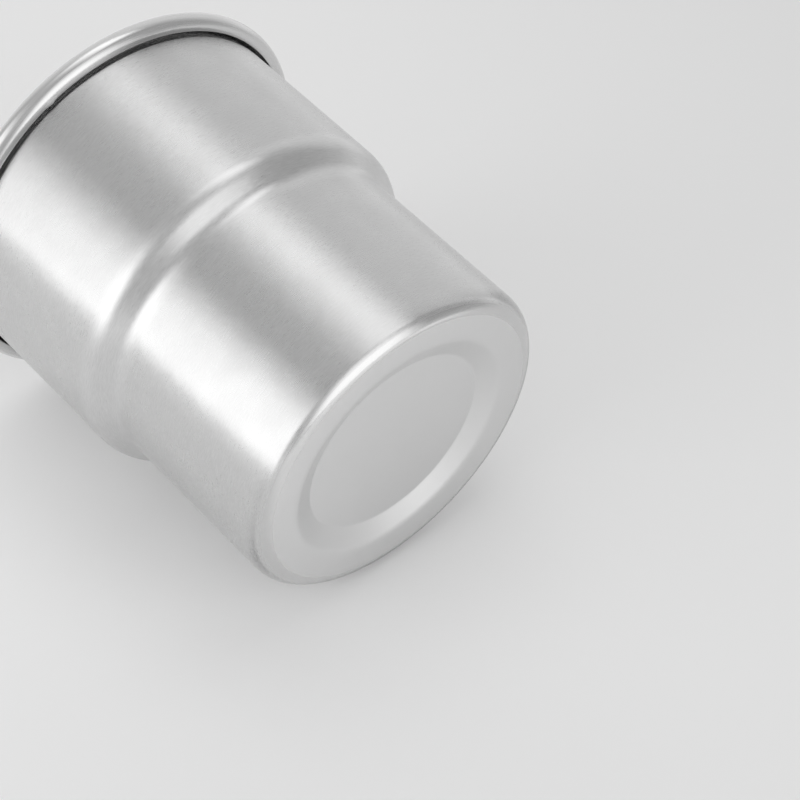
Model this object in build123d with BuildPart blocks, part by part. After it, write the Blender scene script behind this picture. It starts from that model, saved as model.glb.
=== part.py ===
from build123d import *
import math
import os

# Deep drawn drinking cup, one piece of stainless sheet from the foot to the rolled rim.
# Lengths are millimetres and angles are degrees. The cup stands on its foot, +Z up,
# and the origin is the centre of the foot's plane.

# Sheet and overall height
sheet = 0.6             # thickness of the metal, the same in the floor, the wall and the rim
height = 76.1           # from the foot to the crown of the rolled rim

# Lower body
lower_radius = 30.0     # outside of the wall at the base, before the corner is rounded
lower_draft = 0.1       # lean of the wall, so that the punch can leave it
base_corner = 3.4       # outside radius of the rounded edge between the wall and the foot

# Upper body, wide enough for the lower body of another cup to stand in it
stack_clearance = 2.6   # play all round between a lower body and the mouth that takes it
upper_draft = 0.25      # lean of the wall above the shoulder

# Shoulder, the soft step that comes to rest on the rim of the cup below in a stack
shoulder_start = 36.3   # height at which the line of the lower wall meets the slope
shoulder_rise = 3.4     # height of the slope
shoulder_bend = 5.5     # radius of both bends of the slope, at the middle of the sheet

# Floor: a flat foot round the edge, then a soft slope up to a flat disc
foot_width = 4.9        # from the rounded edge to the line where the slope starts
slope_run = 4.1         # width of the slope, seen from below
floor_lift = 1.9        # how far the disc stands above the foot
foot_bend = 5.0         # radius of the bend from the foot into the slope, middle of the sheet
disc_bend = 1.2         # radius of the bend from the slope into the disc, middle of the sheet

# Rolled rim, the edge of the sheet curled outwards and down, almost back to the wall
curl_radius = 1.8       # outside radius of the bead
curl_gap = 0.65         # open slit between the free edge of the curl and the wall


def leaning(radius, draft, rise):
    """Radius of a leaning wall, a given height above the place where its radius is known."""
    return radius + rise * math.tan(math.radians(draft))


def bend_on_slope(radius, along, across):
    """Bend radius of a step's slope, or the largest for which both its bends find room."""
    slope = math.hypot(along, across)
    turn = math.atan2(across, along)
    return min(radius, 0.48 * slope / math.tan(turn / 2))


# Sizes that follow. The section is drawn along the middle of the sheet.
half = sheet / 2
foot_inner = lower_radius - base_corner - foot_width
disc_radius = foot_inner - slope_run
lower_top = leaning(lower_radius, lower_draft, shoulder_start)
upper_radius = lower_radius + stack_clearance + sheet
shoulder_end = shoulder_start + shoulder_rise
shoulder_turn = bend_on_slope(shoulder_bend, shoulder_rise, upper_radius - lower_top)
curl_middle = curl_radius - half
rim_start = height - curl_radius + curl_middle * math.sin(math.radians(upper_draft))
upper_top = leaning(upper_radius, upper_draft, rim_start - shoulder_end)
curl_closing = math.degrees(math.acos((curl_gap + sheet - curl_radius) / curl_radius))
curl_sweep = 180 + curl_closing

with BuildPart() as cup:
    # Half section, from the axis out along the floor, up the wall and round the curl
    with BuildSketch(Plane.XZ):
        with BuildLine():
            body = FilletPolyline(
                (0, floor_lift + half),
                (disc_radius, floor_lift + half),
                (foot_inner, half),
                (lower_radius - half, half),
                (lower_top - half, shoulder_start),
                (upper_radius - half, shoulder_end),
                (upper_top - half, rim_start),
                radius=[
                    bend_on_slope(disc_bend, slope_run, floor_lift),
                    bend_on_slope(foot_bend, slope_run, floor_lift),
                    base_corner - half,
                    shoulder_turn,
                    shoulder_turn,
                ],
            )
            JernArc(body @ 1, body % 1, curl_middle, -curl_sweep)
        trace(line_width=sheet)
    revolve(axis=Axis.Z)

cup.part.label = "cup"

os.makedirs("parts", exist_ok=True)
export_step(cup.part, "parts/cup.step")

print("metal in the cup, cubic millimetres:", round(cup.part.volume))
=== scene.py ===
"""A deep drawn steel cup that lies on a pale table: the drawn sheet, its finishes, the table and the light.

Lengths are metres and angles are degrees. The cup keeps the frame's own axes, with its foot at z = 0 and
its mouth upwards, so the table that it lies on is a slanted plane here, which touches the rolled rim and
the rounded edge of the base.
"""
import logging
import math
from dataclasses import dataclass, field
from enum import Enum

import bmesh
import bpy
from mathutils import Matrix, Vector


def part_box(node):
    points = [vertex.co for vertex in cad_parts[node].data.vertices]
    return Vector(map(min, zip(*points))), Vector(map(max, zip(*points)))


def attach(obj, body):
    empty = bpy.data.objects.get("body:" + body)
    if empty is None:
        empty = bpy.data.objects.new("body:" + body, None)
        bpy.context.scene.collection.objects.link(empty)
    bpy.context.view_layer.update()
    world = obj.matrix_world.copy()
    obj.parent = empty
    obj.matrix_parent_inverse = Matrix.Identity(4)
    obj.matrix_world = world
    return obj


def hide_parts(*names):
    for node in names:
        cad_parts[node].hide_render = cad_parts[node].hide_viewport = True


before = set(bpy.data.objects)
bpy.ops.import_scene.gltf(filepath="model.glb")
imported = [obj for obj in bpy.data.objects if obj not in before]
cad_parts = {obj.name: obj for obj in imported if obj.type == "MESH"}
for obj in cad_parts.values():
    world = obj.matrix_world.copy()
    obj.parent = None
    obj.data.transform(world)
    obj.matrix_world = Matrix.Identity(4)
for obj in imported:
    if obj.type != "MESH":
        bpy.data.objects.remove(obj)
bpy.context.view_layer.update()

log = logging.getLogger("cup")
MM = 0.001
WHITE = (1.0, 1.0, 1.0, 1.0)
OUTWARD = (1.0, 1.0, 0.0)  # keeps a place's two directions across the cup
INWARD = (-1.0, -1.0, 0.0)
NO_VECTOR = (0.0, 0.0, 0.0)
NOISE_LOW, NOISE_HIGH = 0.3, 0.7  # values between which a noise mostly lies


class Zone(Enum):
    """Places on the sheet that are finished in different ways, in the order of their material slots."""

    BASE = 0
    EDGE = 1
    WALL = 2
    BEAD = 3
    INSIDE = 4


class Grain(Enum):
    """Ways in which the fine marks of a finish lie."""

    ROUND = "round the cup"
    EVEN = "the same in every direction"


class Hang(Enum):
    """Ways to hang a lamp's front."""

    UPRIGHT = "upright"
    OVERHEAD = "overhead"
    LYING = "lying on the table, front up"


def shade(brightness: float) -> tuple[float, float, float, float]:
    """Grey of a given brightness, as a colour value."""
    return (brightness, brightness, brightness, 1.0)


class NodeBoard:
    """A material's or world's node tree, with short ways to add nodes and to join them."""

    def __init__(self, tree: bpy.types.NodeTree) -> None:
        """Empty the tree.

        Args:
            tree: the node tree to build in.
        """
        self.tree = tree
        tree.nodes.clear()

    def add(self, kind: str, settings: dict | None = None, **inputs: object) -> bpy.types.Node:
        """Add a node.

        Args:
            kind: the node's class without its Node ending, such as ShaderNodeMath.
            settings: properties of the node itself.
            inputs: a value or an output socket for each input, named in lower case with low lines.

        Returns:
            The new node.
        """
        node = self.tree.nodes.new(kind)
        for name, value in (settings or {}).items():
            setattr(node, name, value)
        for name, value in inputs.items():
            self.feed(self.socket(node, name), value)
        return node

    def socket(self, node: bpy.types.Node, name: str) -> bpy.types.NodeSocket:
        """Find an input by its name in lower case, or by its number after the letter i.

        Args:
            node: the node that has the input.
            name: its name, such as base_color, or its place, such as i1.

        Returns:
            The input socket.
        """
        if name[0] == "i" and name[1:].isdigit():
            return node.inputs[int(name[1:])]
        wanted = name.replace("_", " ")
        return next(s for s in node.inputs if s.enabled and s.name.lower() == wanted)

    def feed(self, target: bpy.types.NodeSocket, value: object) -> None:
        """Give an input a value, or join an output to it.

        Args:
            target: the input socket.
            value: a number, a tuple, or another node's output socket.
        """
        if isinstance(value, bpy.types.NodeSocket):
            self.tree.links.new(value, target)
        else:
            target.default_value = value

    def maths(self, operation: str, first: object, second: object = 0.0) -> bpy.types.NodeSocket:
        """Work out a number from two others.

        Args:
            operation: what to do, such as MULTIPLY.
            first: the first number or socket.
            second: the second number or socket.

        Returns:
            The output socket.
        """
        return self.add("ShaderNodeMath", {"operation": operation}, i0=first, i1=second).outputs[0]

    def vector(self, operation: str, first: object, second: object) -> bpy.types.Node:
        """A vector sum node on two inputs."""
        return self.add("ShaderNodeVectorMath", {"operation": operation}, i0=first, i1=second)


@dataclass(frozen=True)
class Stretch:
    """A stretch of the cup's height that is finished less strongly than the rest of its zone."""

    middle: float  # height over the foot
    reach: float  # half of its height
    blend: float  # height over which the finish changes
    roughness: float
    along: float


@dataclass(frozen=True)
class Ease:
    """How the belt eases the rounded edge of the base, whose metal then leans back towards the wall."""

    low: float = 0.15  # share of the way back towards the wall, on the lower part of the rounded edge
    high: float = 0.85  # the same on its upper part
    low_up_to: float = 0.6 * MM  # height over the foot where the lower part ends
    high_from: float = 1.5 * MM  # height where the upper part begins
    foot_blend: float = 0.03 * MM  # height over which it starts, from the foot
    up_to: float = 3.6 * MM  # where the wall is straight
    end_blend: float = 1.5 * MM

    def normal(self, board: NodeBoard) -> bpy.types.NodeSocket:
        """Lean the surface's direction back.

        Args:
            board: the material's nodes.

        Returns:
            The socket of the direction.
        """
        place = board.add("ShaderNodeTexCoord").outputs["Object"]
        own = board.add("ShaderNodeNewGeometry").outputs["Normal"]
        flat = board.vector("MULTIPLY", place, OUTWARD).outputs[0]
        outward = board.vector("NORMALIZE", flat, NO_VECTOR).outputs[0]
        up = board.add("ShaderNodeSeparateXYZ", i0=place).outputs["Z"]
        share = board.add(
            "ShaderNodeMapRange", {"interpolation_type": "SMOOTHSTEP"}, value=up,
            from_min=self.low_up_to, from_max=self.high_from, to_min=self.low, to_max=self.high,
        ).outputs[0]
        start = board.add("ShaderNodeMapRange", value=up, from_min=0.0, from_max=self.foot_blend).outputs[0]
        end = board.add(
            "ShaderNodeMapRange", value=up, from_min=self.up_to, from_max=self.up_to + self.end_blend,
            to_min=1.0, to_max=0.0,
        ).outputs[0]
        share = board.maths("MULTIPLY", share, board.maths("MULTIPLY", start, end))
        leaned = board.add("ShaderNodeMix", {"data_type": "VECTOR"}, factor=share, a=own, b=outward)
        return board.vector("NORMALIZE", leaned.outputs["Result"], NO_VECTOR).outputs[0]


@dataclass(frozen=True)
class Dish:
    """How the press leaves the slope round the disc of the base: a little steeper than its run tells."""

    share: float = 0.13  # how far the metal leans towards the middle
    inner: float = 17.9 * MM  # radii between which it leans
    outer: float = 22.0 * MM
    inner_blend: float = 0.25 * MM
    outer_blend: float = 1.2 * MM

    def normal(self, board: NodeBoard) -> bpy.types.NodeSocket:
        """Lean the surface's direction in.

        Args:
            board: the material's nodes.

        Returns:
            The socket of the direction.
        """
        place = board.add("ShaderNodeTexCoord").outputs["Object"]
        own = board.add("ShaderNodeNewGeometry").outputs["Normal"]
        flat = board.vector("MULTIPLY", place, INWARD).outputs[0]
        inward = board.vector("NORMALIZE", flat, NO_VECTOR).outputs[0]
        radius = board.vector("LENGTH", flat, NO_VECTOR).outputs["Value"]
        start = board.add(
            "ShaderNodeMapRange", value=radius, from_min=self.inner - self.inner_blend, from_max=self.inner
        ).outputs[0]
        end = board.add(
            "ShaderNodeMapRange", {"interpolation_type": "SMOOTHSTEP"}, value=radius,
            from_min=self.outer - self.outer_blend, from_max=self.outer, to_min=self.share, to_max=0.0,
        ).outputs[0]
        share = board.maths("MULTIPLY", start, end)
        leaned = board.add("ShaderNodeMix", {"data_type": "VECTOR"}, factor=share, a=own, b=inward)
        return board.vector("NORMALIZE", leaned.outputs["Result"], NO_VECTOR).outputs[0]


@dataclass(frozen=True)
class Steel:
    """A finish of the cup's bare stainless steel.

    The marks of the finishing belt run round the cup. They are drawn by a noise that is drawn out along
    the way round, read in polar coordinates so that it closes on itself.
    """

    name: str
    tone: float  # grey of the bare metal
    roughness: float
    along: float = 0.0  # share of anisotropy, 0 where the surface has no marks of one direction
    grain: Grain = Grain.ROUND
    mark_length: float = 6.0 * MM
    mark_width: float = 0.22 * MM
    mark_depth: float = 0.001 * MM
    mark_tone: float = 0.05  # how far the tone changes from mark to mark
    patchiness: float = 0.15  # how far the roughness changes from mark to mark
    wave_size: float = 5.0 * MM
    wave_depth: float = 0.0  # broad unevenness of the sheet
    drift: float = 0.06  # how far the roughness changes from place to place
    round_at: float = 30 * MM  # radius at which the marks have their length
    missed: Stretch | None = None  # heights that the belt hardly touches
    lean: Ease | Dish | None = None  # what the finishing does to the surface's direction

    def material(self) -> bpy.types.Material:
        """Make the material.

        Returns:
            A new node material.
        """
        made = bpy.data.materials.new(self.name)
        made.use_nodes = True
        board = NodeBoard(made.node_tree)
        shader = board.add("ShaderNodeBsdfPrincipled", metallic=1.0)
        marks, waves = self.marks(board), self.waves(board)
        along, roughness = self.along, self.roughness
        if self.missed:
            along = self.faded(board, self.missed.along, self.along)
            roughness = self.faded(board, self.missed.roughness, self.roughness)
        if self.along:
            round_cup = board.add("ShaderNodeTangent", {"direction_type": "RADIAL", "axis": "Z"})
            board.feed(shader.inputs["Anisotropic"], along)
            board.feed(shader.inputs["Anisotropic Rotation"], 0.25)
            board.feed(shader.inputs["Tangent"], round_cup.outputs[0])
        tone = self.spread(board, marks, self.tone, self.mark_tone)
        height = board.maths("MULTIPLY", marks, self.mark_depth)
        height = board.maths("ADD", height, board.maths("MULTIPLY", waves, self.wave_depth))
        bump = board.add("ShaderNodeBump", strength=1.0, distance=1.0, height=height)
        if self.lean:
            board.feed(bump.inputs["Normal"], self.lean.normal(board))
        worn = self.spread(board, marks, 1.0, self.patchiness)
        worn = board.maths("MULTIPLY", worn, self.spread(board, waves, 1.0, self.drift))
        board.feed(shader.inputs["Base Color"], tone)
        board.feed(shader.inputs["Roughness"], board.maths("MULTIPLY", worn, roughness))
        board.feed(shader.inputs["Normal"], bump.outputs[0])
        output = board.add("ShaderNodeOutputMaterial")
        board.feed(output.inputs["Surface"], shader.outputs[0])
        return made

    def spread(
        self, board: NodeBoard, noise: bpy.types.NodeSocket, middle: float, share: float
    ) -> bpy.types.NodeSocket:
        """Turn a noise into a value that swings about its middle.

        Args:
            board: the material's nodes.
            noise: the noise, mostly between its low and its high value.
            middle: the value's middle.
            share: how far it swings to either side, as a share of the middle.

        Returns:
            The socket of the value.
        """
        return board.add(
            "ShaderNodeMapRange", value=noise, from_min=NOISE_LOW, from_max=NOISE_HIGH,
            to_min=middle * (1 - share), to_max=middle * (1 + share),
        ).outputs[0]

    def faded(self, board: NodeBoard, inside: float, outside: float) -> bpy.types.NodeSocket:
        """Change a value over the stretch of height that the belt misses.

        Args:
            board: the material's nodes.
            inside: the value in the middle of the stretch.
            outside: the value beyond its ends.

        Returns:
            The socket of the value.
        """
        place = board.add("ShaderNodeTexCoord").outputs["Object"]
        up = board.add("ShaderNodeSeparateXYZ", i0=place).outputs["Z"]
        away = board.maths("ABSOLUTE", board.maths("SUBTRACT", up, self.missed.middle))
        return board.add(
            "ShaderNodeMapRange", {"interpolation_type": "SMOOTHSTEP"}, value=away,
            from_min=self.missed.reach - self.missed.blend, from_max=self.missed.reach,
            to_min=inside, to_max=outside,
        ).outputs[0]

    def waves(self, board: NodeBoard) -> bpy.types.NodeSocket:
        """Draw the sheet's broad unevenness as heights from 0 to 1.

        Args:
            board: the material's nodes.

        Returns:
            The socket of the heights.
        """
        place = board.add("ShaderNodeTexCoord").outputs["Object"]
        noise = board.add(
            "ShaderNodeTexNoise", vector=place, scale=1 / self.wave_size, detail=2.0, roughness=0.45
        )
        return noise.outputs["Fac"]

    def marks(self, board: NodeBoard) -> bpy.types.NodeSocket:
        """Draw the finish's marks as heights from 0 to 1.

        Args:
            board: the material's nodes.

        Returns:
            The socket of the heights.
        """
        place = board.add("ShaderNodeTexCoord").outputs["Object"]
        if self.grain is Grain.EVEN:
            even = board.add(
                "ShaderNodeTexNoise", vector=place, scale=1 / self.mark_width, detail=3.0, roughness=0.6
            )
            return even.outputs["Fac"]
        flat = board.vector("MULTIPLY", place, OUTWARD).outputs[0]
        radius = board.vector("LENGTH", flat, NO_VECTOR).outputs["Value"]
        outward = board.vector("NORMALIZE", flat, NO_VECTOR).outputs[0]
        turns = self.round_at / self.mark_length
        drawn_out = board.add(
            "ShaderNodeVectorMath", {"operation": "SCALE"}, i0=outward, i3=turns
        ).outputs[0]
        up = board.add("ShaderNodeSeparateXYZ", i0=place).outputs["Z"]
        line = board.maths("MULTIPLY", board.maths("ADD", up, radius), 1 / self.mark_width)
        lift = board.add("ShaderNodeCombineXYZ", z=line).outputs[0]
        where = board.vector("ADD", drawn_out, lift).outputs[0]
        noise = board.add(
            "ShaderNodeTexNoise", vector=where, scale=1.0, detail=3.0, roughness=0.6
        )
        return noise.outputs["Fac"]


@dataclass(frozen=True)
class Corner:
    """A corner of the line that the middle of the sheet follows, and the radius that rounds it."""

    across: float
    up: float
    bend: float = 0.0


class SheetLine:
    """A pen that draws the sheet's section by runs and bends, as a chain of short edges."""

    def __init__(self, mesh: bmesh.types.BMesh, start: Corner, step: float) -> None:
        """Put the pen down, pointing outwards.

        Args:
            mesh: the mesh to draw in.
            start: where the line starts.
            step: the longest edge of a straight run.
        """
        self.mesh = mesh
        self.step = step
        self.heading = 0.0
        self.tip = mesh.verts.new((start.across, 0.0, start.up))

    def run(self, length: float) -> None:
        """Draw straight on.

        Args:
            length: how far.
        """
        steps = max(1, round(length / self.step))
        move = Vector((math.cos(self.heading), 0.0, math.sin(self.heading))) * (length / steps)
        self.draw(Vector(), 0.0, move, steps)

    def bend(self, radius: float, turn: float, step: float) -> None:
        """Draw an arc that starts in line with what is drawn.

        Args:
            radius: the arc's radius.
            turn: radians that the line turns, positive towards the inside of the cup.
            step: the most that one edge turns, in radians.
        """
        side = math.copysign(math.pi / 2, turn)
        toward = self.heading + side
        middle = self.tip.co + radius * Vector((math.cos(toward), 0.0, math.sin(toward)))
        self.draw(middle, turn, Vector(), max(1, round(abs(turn) / step)))
        self.heading += turn

    def draw(self, middle: Vector, turn: float, move: Vector, steps: int) -> None:
        """Spin the tip of the line about a point, or push it along.

        Args:
            middle: the point that it turns about.
            turn: radians in all, positive from outwards to upwards.
            move: how far each step is pushed along.
            steps: the number of edges.
        """
        made = bmesh.ops.spin(
            self.mesh, geom=[self.tip], cent=middle, axis=(0.0, -1.0, 0.0), dvec=move,
            angle=turn, steps=steps, use_merge=False, use_duplicate=False,
        )
        self.tip = next(e for e in made["geom_last"] if isinstance(e, bmesh.types.BMVert))


@dataclass
class DrawnCup:
    """The cup: one sheet, from the middle of its floor to the free edge of the rolled rim.

    Radii and heights are those of the outside of the metal, as someone would measure them on the cup.
    """

    height: float
    rim_radius: float
    sheet: float = 0.6 * MM
    lower_radius: float = 30.0 * MM
    lower_draft: float = 0.1
    base_corner: float = 3.4 * MM
    stack_clearance: float = 2.6 * MM
    upper_draft: float = 0.25
    shoulder_start: float = 36.3 * MM
    shoulder_rise: float = 3.4 * MM
    shoulder_bend: float = 3.6 * MM
    foot_width: float = 4.9 * MM
    slope_run: float = 4.1 * MM
    floor_lift: float = 1.9 * MM
    foot_bend: float = 5.0 * MM
    disc_bend: float = 1.2 * MM
    curl_radius: float = 1.8 * MM
    curl_gap: float = 0.65 * MM
    lip_round: float = 0.06 * MM
    lip_angle: float = 60.0  # edges that turn more than this are rounded
    ripple_at: float = 3.9  # degrees round the cup to the small ripple in the curl's free edge
    ripple_width: float = 1.3
    ripple_depth: float = 0.25 * MM
    ripple_reach: float = 1.75  # how far in from the bead's outside it goes, in radii of the curl
    brushed_from: float = 0.62 * MM  # height at which the belt's marks begin on the rounded edge
    foot_line: float = 26.5 * MM  # radius of the fine line between the rounded edge and the foot
    facets: int = 336
    run_step: float = 2.4 * MM  # longest edge of a straight run
    bend_step: float = 5.0  # degrees that one edge of a bend turns
    finishes: dict[Zone, Steel] = field(default_factory=dict)

    def build(self) -> bpy.types.Object:
        """Make the whole cup, dressed in its finishes.

        Returns:
            The cup's object.
        """
        mesh = bmesh.new()
        self.draw_section(mesh)
        self.revolve(mesh)
        self.ripple_lip(mesh)
        data = bpy.data.meshes.new("drawn_cup")
        mesh.to_mesh(data)
        mesh.free()
        cup = bpy.data.objects.new("drawn_cup", data)
        bpy.context.scene.collection.objects.link(cup)
        self.thicken(cup)
        self.dress(cup)
        return cup

    def corners(self) -> list[Corner]:
        """Give the corners of the middle line, from the middle of the floor to the start of the curl.

        Returns:
            The corners in order.
        """
        half = self.sheet / 2
        foot_inner = self.lower_radius - self.base_corner - self.foot_width
        lower_top = self.lower_radius + self.shoulder_start * math.tan(math.radians(self.lower_draft))
        upper_radius = self.lower_radius + self.stack_clearance + self.sheet
        shoulder_end = self.shoulder_start + self.shoulder_rise
        lean = math.radians(self.upper_draft)
        rim_start = self.height - self.curl_radius + (self.curl_radius - half) * math.sin(lean)
        upper_top = upper_radius + (rim_start - shoulder_end) * math.tan(lean)
        return [
            Corner(0.0, self.floor_lift + half),
            Corner(foot_inner - self.slope_run, self.floor_lift + half, self.disc_bend),
            Corner(foot_inner, half, self.foot_bend),
            Corner(self.lower_radius - half, half, self.base_corner - half),
            Corner(lower_top - half, self.shoulder_start, self.shoulder_bend),
            Corner(upper_radius - half, shoulder_end, self.shoulder_bend),
            Corner(upper_top - half, rim_start),
        ]

    def draw_section(self, mesh: bmesh.types.BMesh) -> None:
        """Draw the middle line of the sheet, with every corner rounded and the curl at its end.

        Args:
            mesh: an empty mesh.
        """
        line = self.corners()
        pen = SheetLine(mesh, line[0], self.run_step)
        step = math.radians(self.bend_step)
        used = 0.0
        for before, here, after in zip(line, line[1:], line[2:]):
            way_in = Vector((here.across - before.across, here.up - before.up))
            way_out = Vector((after.across - here.across, after.up - here.up))
            turn = math.atan2(way_in.cross(way_out), way_in.dot(way_out))
            rounded = here.bend * math.tan(abs(turn) / 2)
            pen.run(way_in.length - used - rounded)
            pen.bend(here.bend, turn, step)
            used = rounded
        last = Vector((line[-1].across - line[-2].across, line[-1].up - line[-2].up))
        pen.run(last.length - used)
        closing = math.acos((self.curl_gap + self.sheet - self.curl_radius) / self.curl_radius)
        pen.bend(self.curl_radius - self.sheet / 2, -(math.pi + closing), step)

    def revolve(self, mesh: bmesh.types.BMesh) -> None:
        """Spin the section once round, close it and turn its faces outwards.

        Args:
            mesh: the mesh that holds the section.
        """
        bmesh.ops.spin(
            mesh, geom=mesh.verts[:] + mesh.edges[:], cent=(0.0, 0.0, 0.0), axis=(0.0, 0.0, 1.0),
            dvec=(0.0, 0.0, 0.0), angle=math.tau, steps=self.facets, use_merge=True, use_duplicate=False,
        )
        bmesh.ops.remove_doubles(mesh, verts=mesh.verts[:], dist=1e-7)
        bmesh.ops.recalc_face_normals(mesh, faces=mesh.faces[:])
        mesh.faces.ensure_lookup_table()
        lowest = min(mesh.faces, key=lambda face: face.calc_center_median().z)
        if lowest.normal.z > 0:
            bmesh.ops.reverse_faces(mesh, faces=mesh.faces[:])

    def ripple_lip(self, mesh: bmesh.types.BMesh) -> None:
        """Dip the curl's free edge a little towards the wall at one place, as the rolling tool left it.

        Args:
            mesh: the revolved sheet.
        """
        gap_middle = self.height - self.curl_radius
        for vertex in mesh.verts:
            across = math.hypot(vertex.co.x, vertex.co.y)
            outside = across - (self.rim_radius - self.curl_radius)
            if vertex.co.z > gap_middle or across < self.rim_radius - self.ripple_reach * self.curl_radius:
                continue
            angle = math.degrees(math.atan2(vertex.co.x, -vertex.co.y)) - self.ripple_at
            share = math.exp(-((angle / self.ripple_width) ** 2))
            nearness = max(0.0, min(1.0, (self.curl_radius / 2 - outside) / self.curl_radius))
            push = self.ripple_depth * share * nearness**2
            vertex.co.x -= push * vertex.co.x / across
            vertex.co.y -= push * vertex.co.y / across
            vertex.co.z -= push

    def thicken(self, cup: bpy.types.Object) -> None:
        """Give the sheet its thickness on both sides of its middle and round its cut edge.

        Args:
            cup: the object that holds the middle surface.
        """
        wall = cup.modifiers.new("sheet", "SOLIDIFY")
        wall.thickness = self.sheet
        wall.offset = 0.0
        wall.use_even_offset = True
        wall.use_rim = True
        lip = cup.modifiers.new("lip", "BEVEL")
        lip.width = self.lip_round
        lip.segments = 2
        lip.limit_method = "ANGLE"
        lip.angle_limit = math.radians(self.lip_angle)
        graph = bpy.context.evaluated_depsgraph_get()
        finished = bpy.data.meshes.new_from_object(cup.evaluated_get(graph))
        cup.modifiers.clear()
        cup.data = finished
        cup.data.name = "drawn_cup"

    def zone(self, middle: Vector, normal: Vector) -> Zone:
        """Tell which finish a face has.

        Args:
            middle: the middle of the face.
            normal: the face's direction.

        Returns:
            The zone that it lies in.
        """
        across = math.hypot(middle.x, middle.y)
        outward = (middle.x * normal.x + middle.y * normal.y) / max(across, 1e-9)
        bead = 2 * self.curl_radius
        if middle.z > self.height - bead and across > self.rim_radius - bead:
            return Zone.BEAD
        inner = self.lower_radius - self.sheet
        if middle.z < self.floor_lift + self.sheet and across < inner - self.base_corner:
            return Zone.BASE if normal.z < 0 else Zone.INSIDE
        if outward - normal.z < 0:
            return Zone.INSIDE
        if middle.z > self.brushed_from:
            return Zone.WALL
        return Zone.EDGE if across > self.foot_line else Zone.BASE

    def dress(self, cup: bpy.types.Object) -> None:
        """Give every face its finish and smooth shading.

        Args:
            cup: the finished mesh's object.
        """
        cup.data.materials.clear()
        for zone in Zone:
            cup.data.materials.append(self.finishes[zone].material())
        for face in cup.data.polygons:
            face.material_index = self.zone(face.center, face.normal).value
            face.use_smooth = True


@dataclass(frozen=True)
class PhotoCamera:
    """The camera where the photograph was taken from, found from the outlines of the cup."""

    picture: float = 800.0  # pixels along a side
    focal: float = 2255.03  # focal length in those pixels
    foot_across: float = 401.36  # pixel where the centre of the foot shows
    foot_down: float = 449.23
    distance: float = 0.36401  # from the centre of the foot
    below: float = 26.7387  # degrees by which it looks up at the base
    roll: float = -47.0561
    sensor: float = 36.0

    def axes(self) -> Matrix:
        """Give the camera's own directions.

        Returns:
            Right, down and forward, as the rows of a matrix.
        """
        tilt = math.radians(self.below)
        forward = Vector((0.0, math.cos(tilt), math.sin(tilt)))
        right = forward.cross(Vector((0.0, 0.0, 1.0))).normalized()
        level = Matrix((right, forward.cross(right), forward))
        rolled = Matrix.Rotation(math.radians(self.roll), 3, "Z") @ level
        half = self.picture / 2
        aim = Vector((self.foot_across - half, self.foot_down - half, self.focal))
        return Vector((0.0, 0.0, 1.0)).rotation_difference(aim).to_matrix() @ rolled

    def place(self) -> Vector:
        """Give the camera's place."""
        tilt = math.radians(self.below)
        return Vector((0.0, -math.cos(tilt), -math.sin(tilt))) * self.distance

    def build(self) -> bpy.types.Object:
        """Make the camera and look through it.

        Returns:
            The camera's object.
        """
        data = bpy.data.cameras.new("photo_camera")
        data.sensor_width = self.sensor
        data.lens = self.focal / self.picture * self.sensor
        data.clip_start = 0.01
        camera = bpy.data.objects.new("photo_camera", data)
        right, down, forward = self.axes()
        turned = Matrix((right, -down, -forward)).transposed()
        camera.matrix_world = Matrix.Translation(self.place()) @ turned.to_4x4()
        bpy.context.scene.collection.objects.link(camera)
        bpy.context.scene.camera = camera
        return camera


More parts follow.
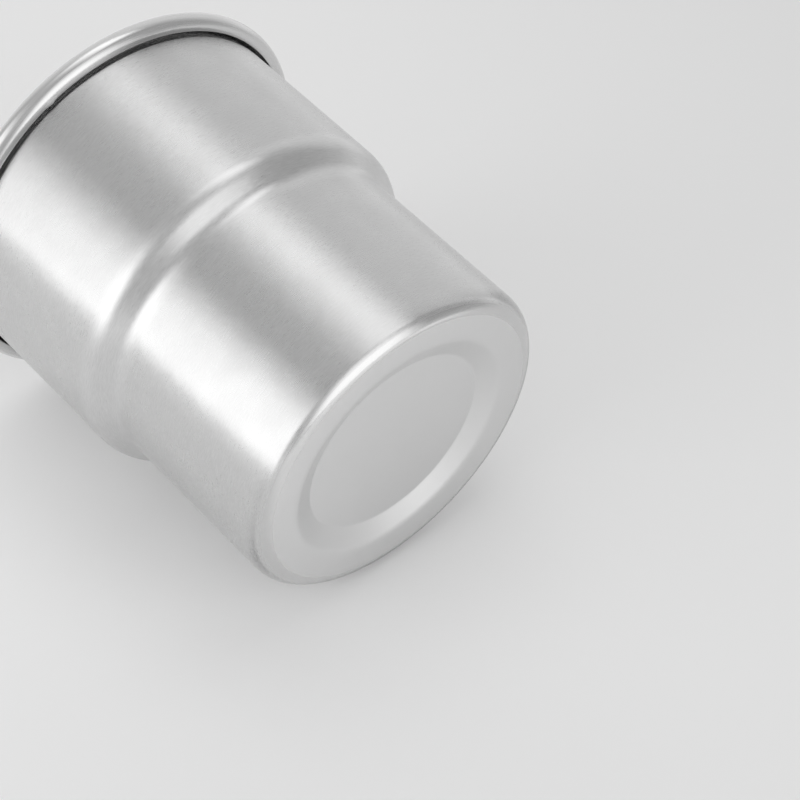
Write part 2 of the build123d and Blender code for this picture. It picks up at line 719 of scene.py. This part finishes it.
@dataclass(frozen=True)
class Table:
    """The table's top: the plane that the lying cup touches with its bead and its base's rounded edge."""

    cup: DrawnCup
    camera: PhotoCamera
    bearing: float = 30.3  # azimuth of the plane's upward direction round the cup, from the camera's side
    tone: float = 0.91
    glow: float = 0.06  # what is added for the camera and in the metal
    painted_reflection_glow: float = 0.18  # painted reflection: glow that only the metal sees, to the right in front of the cup
    front_from: float = -0.028
    front_to: float = -0.062
    beside_from: float = 0.008  # the same towards the right
    beside_to: float = 0.034
    painted_shade_near_tone: float = 0.84  # painted shade: the tone is lowered on the strip in front of the cup, where the lamps stand close and light it more
    near_from: float = -0.080  # places along the table are told ahead of the camera, and to its right
    near_to: float = -0.005
    painted_shade_right_share: float = 0.90  # painted shade: what is left of the tone at the right, darker towards the right
    right_from: float = -0.064
    right_to: float = 0.113
    reach: float = 0.32
    fade: float = 0.14
    sides: int = 96

    def lean(self) -> float:
        """Work out how the cup lies on its bead and on the rounded edge of its base.

        Returns:
            The angle in radians between the table's top and the cup's axis.
        """
        rise = self.cup.height - self.cup.curl_radius - self.cup.base_corner
        bead_middle = self.cup.rim_radius - self.cup.curl_radius
        step = bead_middle - (self.cup.lower_radius - self.cup.base_corner)
        bigger = self.cup.base_corner - self.cup.curl_radius
        return math.atan2(step, rise) - math.asin(bigger / math.hypot(rise, step))

    def normal(self) -> Vector:
        """Give the direction that is up for someone who stands at the table.

        Returns:
            The direction, one long.
        """
        lean = self.lean()
        around = math.radians(self.bearing)
        flat = Vector((math.sin(around), -math.cos(around), 0.0))
        return (flat * math.cos(lean) + Vector((0.0, 0.0, math.sin(lean)))).normalized()

    def offset(self) -> float:
        """Work out how far the table's top is from the centre of the cup's foot.

        Returns:
            The distance.
        """
        lean = self.lean()
        middle = self.cup.lower_radius - self.cup.base_corner
        return self.cup.base_corner + middle * math.cos(lean) - self.cup.base_corner * math.sin(lean)

    def axes(self) -> Matrix:
        """Give the table's own directions.

        Returns:
            The camera's right, ahead of the camera, and up, as the columns of a matrix.
        """
        up = self.normal()
        right = self.camera.axes()[0].copy()
        right = (right - up * right.dot(up)).normalized()
        return Matrix((right, up.cross(right), up)).transposed()

    def frame(self) -> Matrix:
        """Give the table's own frame.

        Returns:
            Its directions, and the point of its top under the middle of the cup.
        """
        centre = Vector((0.0, 0.0, self.cup.height / 2))
        up = self.normal()
        middle = centre - up * (centre.dot(up) + self.offset())
        return Matrix.Translation(middle) @ self.axes().to_4x4()

    def build(self) -> bpy.types.Object:
        """Make the table's top. From below it can't be seen, so it never hides the cup.

        Returns:
            The table's object.
        """
        mesh = bmesh.new()
        bmesh.ops.create_circle(mesh, cap_ends=True, segments=self.sides, radius=self.reach)
        data = bpy.data.meshes.new("table_top")
        mesh.to_mesh(data)
        mesh.free()
        table = bpy.data.objects.new("table_top", data)
        table.matrix_world = self.frame()
        data.materials.append(self.material())
        bpy.context.scene.collection.objects.link(table)
        return table

    def material(self) -> bpy.types.Material:
        """Make the pale matt top, which is clear from below and fades out at its edge. Its colour holds
        painted shade in front of the cup and at the right, and it glows with a painted reflection that only
        the metal sees.

        Returns:
            A new node material.
        """
        made = bpy.data.materials.new("pale_table")
        made.use_nodes = True
        board = NodeBoard(made.node_tree)
        place = board.add("ShaderNodeTexCoord").outputs["Object"]
        across, ahead, _ = board.add("ShaderNodeSeparateXYZ", i0=place).outputs
        # painted shade: the table's colour is darker in front of the cup and towards the right
        tone = board.add(
            "ShaderNodeMapRange", value=ahead, from_min=self.near_from, from_max=self.near_to,
            to_min=self.painted_shade_near_tone, to_max=self.tone,
        ).outputs[0]
        share = board.add(
            "ShaderNodeMapRange", value=across, from_min=self.right_from, from_max=self.right_to,
            to_min=1.0, to_max=self.painted_shade_right_share,
        ).outputs[0]
        matt = board.add("ShaderNodeBsdfDiffuse", color=board.maths("MULTIPLY", tone, share))
        path = board.add("ShaderNodeLightPath").outputs
        looked_at = board.maths("MAXIMUM", path["Is Camera Ray"], path["Is Glossy Ray"])
        # painted reflection: the top glows for glossy rays only, to the right in front of the cup
        front = board.add(
            "ShaderNodeMapRange", value=ahead, from_min=self.front_from, from_max=self.front_to,
            to_min=0.0, to_max=self.painted_reflection_glow,
        ).outputs[0]
        beside = board.add(
            "ShaderNodeMapRange", value=across, from_min=self.beside_from, from_max=self.beside_to
        ).outputs[0]
        painted_reflection = board.maths("MULTIPLY", path["Is Glossy Ray"], board.maths("MULTIPLY", front, beside))
        glow = board.maths("ADD", board.maths("MULTIPLY", looked_at, self.glow), painted_reflection)
        pale = board.add("ShaderNodeEmission", strength=glow)
        top = board.add("ShaderNodeAddShader", i0=matt.outputs[0], i1=pale.outputs[0])
        clear = board.add("ShaderNodeBsdfTransparent")
        far = board.vector("LENGTH", place, NO_VECTOR).outputs["Value"]
        edge = board.add(
            "ShaderNodeMapRange", {"interpolation_type": "SMOOTHSTEP"},
            value=far, from_min=self.reach - self.fade, from_max=self.reach,
        ).outputs[0]
        below = board.add("ShaderNodeNewGeometry").outputs["Backfacing"]
        unseen = board.maths("MAXIMUM", edge, below)
        mixed = board.add("ShaderNodeMixShader", fac=unseen, i1=top.outputs[0], i2=clear.outputs[0])
        output = board.add("ShaderNodeOutputMaterial")
        board.feed(output.inputs["Surface"], mixed.outputs[0])
        return made


@dataclass(frozen=True)
class SoftBox:
    """A lamp with a wide cloth front, whose glow fades a little towards its edges.

    Its place is told from the middle of the cup: the side on which it stands, how far away, and how high.
    Left and right are those of someone at the cup who faces it, so the larger bearing is on the left.
    """

    name: str
    table: Table
    bearing: float  # azimuth over the table, from the camera's side towards the camera's right
    distance: float
    width: float
    tall: float
    rise: float = 0.0  # height of the lower edge over the table, or of the whole front where it hangs flat
    aside: float = 0.0  # how far it is pushed to the right
    glow: float = 1.5  # brightness of the cloth, where 1 is white
    left_fade: float = 0.04  # how far in from its edges the glow fades
    right_fade: float = 0.04
    top_fade: float = 0.04
    bottom_fade: float = 0.0
    right_cut: float = 0.0  # how much further in its right edge lies at the bottom
    cut_up_to: float = 0.30  # how far up the cut goes
    hang: Hang = Hang.UPRIGHT

    def build(self) -> bpy.types.Object:
        """Make the lamp's front. It lights the cup and shows in the metal, but the camera doesn't see it.

        Returns:
            The front's object.
        """
        mesh = bmesh.new()
        bmesh.ops.create_grid(mesh, x_segments=1, y_segments=1, size=1.0)
        data = bpy.data.meshes.new(self.name)
        mesh.to_mesh(data)
        mesh.free()
        front = bpy.data.objects.new(self.name, data)
        size = Matrix.Diagonal((self.width / 2, self.tall / 2, 1.0, 1.0))
        front.matrix_world = self.table.frame() @ self.stand() @ size
        data.materials.append(self.material())
        front.visible_camera = False
        bpy.context.scene.collection.objects.link(front)
        return front

    def stand(self) -> Matrix:
        """Stand or hang the front.

        Returns:
            Its turn and its place, in the table's own frame.
        """
        around = math.radians(self.bearing)
        away = Vector((math.sin(around), -math.cos(around), 0.0))
        up = Vector((0.0, 0.0, 1.0))
        right = away.cross(up)
        middle = away * self.distance + right * self.aside + up * self.rise
        if self.hang is Hang.OVERHEAD:
            turned = Matrix((right, -away, -up)).transposed()
        elif self.hang is Hang.LYING:
            turned = Matrix((right, away, up)).transposed()
        else:
            turned = Matrix((right, up, -away)).transposed()
            middle += up * self.tall / 2
        return Matrix.Translation(middle) @ turned.to_4x4()

    def material(self) -> bpy.types.Material:
        """Make the cloth's glow.

        Returns:
            A new node material.
        """
        made = bpy.data.materials.new(self.name)
        made.use_nodes = True
        board = NodeBoard(made.node_tree)
        place = board.add("ShaderNodeTexCoord").outputs["Object"]
        across, upwards, _ = board.add("ShaderNodeSeparateXYZ", i0=place).outputs
        left = board.maths("ADD", across, 1.0)
        right = board.maths("SUBTRACT", 1.0, across)
        low = board.maths("ADD", upwards, 1.0)
        if self.right_cut:
            cut = board.add(
                "ShaderNodeMapRange", value=low, from_min=0.0, from_max=2 * self.cut_up_to / self.tall,
                to_min=2 * self.right_cut / self.width, to_max=0.0,
            ).outputs[0]
            right = board.maths("SUBTRACT", right, cut)
        high = board.maths("SUBTRACT", 1.0, upwards)
        cloth = 1.0
        for inwards, half, fade in (
            (left, self.width / 2, self.left_fade),
            (right, self.width / 2, self.right_fade),
            (low, self.tall / 2, self.bottom_fade),
            (high, self.tall / 2, self.top_fade),
        ):
            if fade:
                share = board.add(
                    "ShaderNodeMapRange", {"interpolation_type": "SMOOTHSTEP"},
                    value=inwards, from_min=0.0, from_max=fade / half,
                ).outputs[0]
                cloth = board.maths("MULTIPLY", share, cloth)
        light = board.add("ShaderNodeEmission", strength=self.glow)
        clear = board.add("ShaderNodeBsdfTransparent")
        mixed = board.add("ShaderNodeMixShader", fac=cloth, i1=clear.outputs[0], i2=light.outputs[0])
        output = board.add("ShaderNodeOutputMaterial")
        board.feed(output.inputs["Surface"], mixed.outputs[0])
        return made


@dataclass(frozen=True)
class Room:
    """The plain room: what the metal mirrors beside the lamps, and what the camera sees far off."""

    table: Table
    seen: float = 0.715  # what the camera sees beyond the table
    left: float = 0.54  # brightness of the walls, in the metal
    right: float = 0.42
    back: float = 0.81
    below_left: float = 0.95  # the same below the table's level
    below_right: float = 0.50
    below_back: float = 0.92
    left_up_to: float = -0.30  # parts of a direction that lie to the camera's right, ahead of it, and up
    right_from: float = 0.50
    sides_up_to: float = 0.20
    back_from: float = 0.80
    low_up_to: float = -0.06
    high_from: float = 0.02

    def build(self) -> bpy.types.World:
        """Make the world.

        Returns:
            The world.
        """
        world = bpy.data.worlds.new("plain_room")
        bpy.context.scene.world = world
        world.use_nodes = True
        board = NodeBoard(world.node_tree)
        direction = board.add("ShaderNodeTexCoord").outputs["Generated"]
        to_right, to_back, rise = (
            board.vector("DOT_PRODUCT", direction, axis).outputs["Value"] for axis in self.table.axes().col
        )
        sides, below = (
            board.add(
                "ShaderNodeMapRange", {"interpolation_type": "SMOOTHSTEP"}, value=to_right,
                from_min=self.left_up_to, from_max=self.right_from, to_min=left, to_max=right,
            ).outputs[0]
            for left, right in ((self.left, self.right), (self.below_left, self.below_right))
        )
        walls, below = (
            board.add(
                "ShaderNodeMapRange", {"interpolation_type": "SMOOTHSTEP"}, value=to_back,
                from_min=self.sides_up_to, from_max=self.back_from, to_min=side, to_max=back,
            ).outputs[0]
            for side, back in ((sides, self.back), (below, self.below_back))
        )
        floor = board.add(
            "ShaderNodeMapRange", {"interpolation_type": "SMOOTHSTEP"}, value=rise,
            from_min=self.low_up_to, from_max=self.high_from, to_min=1.0, to_max=0.0,
        ).outputs[0]
        level = board.add("ShaderNodeMix", i0=floor, i2=walls, i3=below).outputs[0]
        lit = board.add("ShaderNodeBackground", color=WHITE, strength=level)
        plain = board.add("ShaderNodeBackground", color=shade(self.seen), strength=1.0)
        camera = board.add("ShaderNodeLightPath").outputs["Is Camera Ray"]
        mixed = board.add("ShaderNodeMixShader", fac=camera, i1=lit.outputs[0], i2=plain.outputs[0])
        output = board.add("ShaderNodeOutputWorld")
        board.feed(output.inputs["Surface"], mixed.outputs[0])
        return world


def finishes() -> dict[Zone, Steel]:
    """Give the finish of each place on the cup."""
    return {
        Zone.BASE: Steel(
            "matt_base", tone=0.70, roughness=0.44, grain=Grain.EVEN, mark_width=0.30 * MM,
            mark_tone=0.02, wave_size=6.0 * MM, wave_depth=0.010 * MM, lean=Dish(),
        ),
        Zone.EDGE: Steel(
            "polished_edge", tone=0.66, roughness=0.20, mark_length=3.0 * MM, mark_width=0.18 * MM,
            mark_tone=0.02, wave_size=3.0 * MM, wave_depth=0.015 * MM, lean=Ease(),
        ),
        Zone.WALL: Steel(
            "belt_brushed_wall", tone=0.67, roughness=0.30, along=0.95, mark_length=1.4 * MM,
            mark_width=0.16 * MM, mark_depth=0.0010 * MM, mark_tone=0.075, patchiness=0.14,
            wave_size=5.0 * MM, wave_depth=0.060 * MM,
            missed=Stretch(middle=37.9 * MM, reach=4.6 * MM, blend=2.0 * MM, roughness=0.33, along=0.6),
            lean=Ease(),
        ),
        Zone.BEAD: Steel(
            "polished_bead", tone=0.69, roughness=0.25, mark_length=8.0 * MM, mark_width=0.20 * MM,
            mark_tone=0.03, wave_size=4.0 * MM, wave_depth=0.012 * MM,
        ),
        Zone.INSIDE: Steel(
            "satin_inside", tone=0.65, roughness=0.30, along=0.7, mark_length=9.0 * MM,
            mark_width=0.30 * MM, wave_size=7.0 * MM, wave_depth=0.020 * MM,
        ),
    }


def lamps(table: Table) -> tuple[SoftBox, ...]:
    """Give the lamps round the table, and the lit card that lies in front of the cup.

    Args:
        table: the table that they stand at.

    Returns:
        The lamps.
    """
    return (
        SoftBox(
            "side_lamp", table, bearing=-60.0, distance=0.35, width=0.49, tall=0.54, glow=1.82,
            left_fade=0.14, right_fade=0.09, top_fade=0.38, bottom_fade=0.05,
        ),
        SoftBox(
            "front_lamp", table, bearing=39.0, distance=0.30, width=0.42, tall=0.74, glow=1.50,
            left_fade=0.10, right_fade=0.14, top_fade=0.62, right_cut=0.05,
        ),
        SoftBox(
            "top_lamp", table, bearing=160.0, distance=0.07, width=0.63, tall=0.46, rise=0.60,
            aside=0.005, glow=1.58, left_fade=0.17, right_fade=0.15, top_fade=0.32, bottom_fade=0.01,
            hang=Hang.OVERHEAD,
        ),
        SoftBox(
            "low_card", table, bearing=55.0, distance=0.205, width=0.20, tall=0.15, rise=0.002,
            glow=1.05, left_fade=0.05, right_fade=0.05, top_fade=0.02, bottom_fade=0.02,
            hang=Hang.LYING,
        ),
    )


def main() -> None:
    """Build the cup, the table, the light and the camera."""
    logging.basicConfig(level=logging.INFO, format="%(name)s: %(message)s")
    bpy.context.scene.view_settings.view_transform = "Standard"
    lowest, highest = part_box("cup")
    design = DrawnCup(height=highest.z, rim_radius=highest.x, finishes=finishes())
    cup = design.build()
    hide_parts("cup")
    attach(cup, "root")
    log.info("%s: %d faces", cup.name, len(cup.data.polygons))

    viewpoint = PhotoCamera()
    log.info("%s: looks up by %.1f degrees", viewpoint.build().name, viewpoint.below)
    table = Table(design, viewpoint)
    log.info("%s: leans %.2f degrees from the cup's axis", table.build().name, math.degrees(table.lean()))
    for lamp in lamps(table):
        log.info("%s: %.2f at its brightest", lamp.build().name, lamp.glow)
    log.info("%s: the room", Room(table).build().name)


if __name__ == "__main__":
    main()
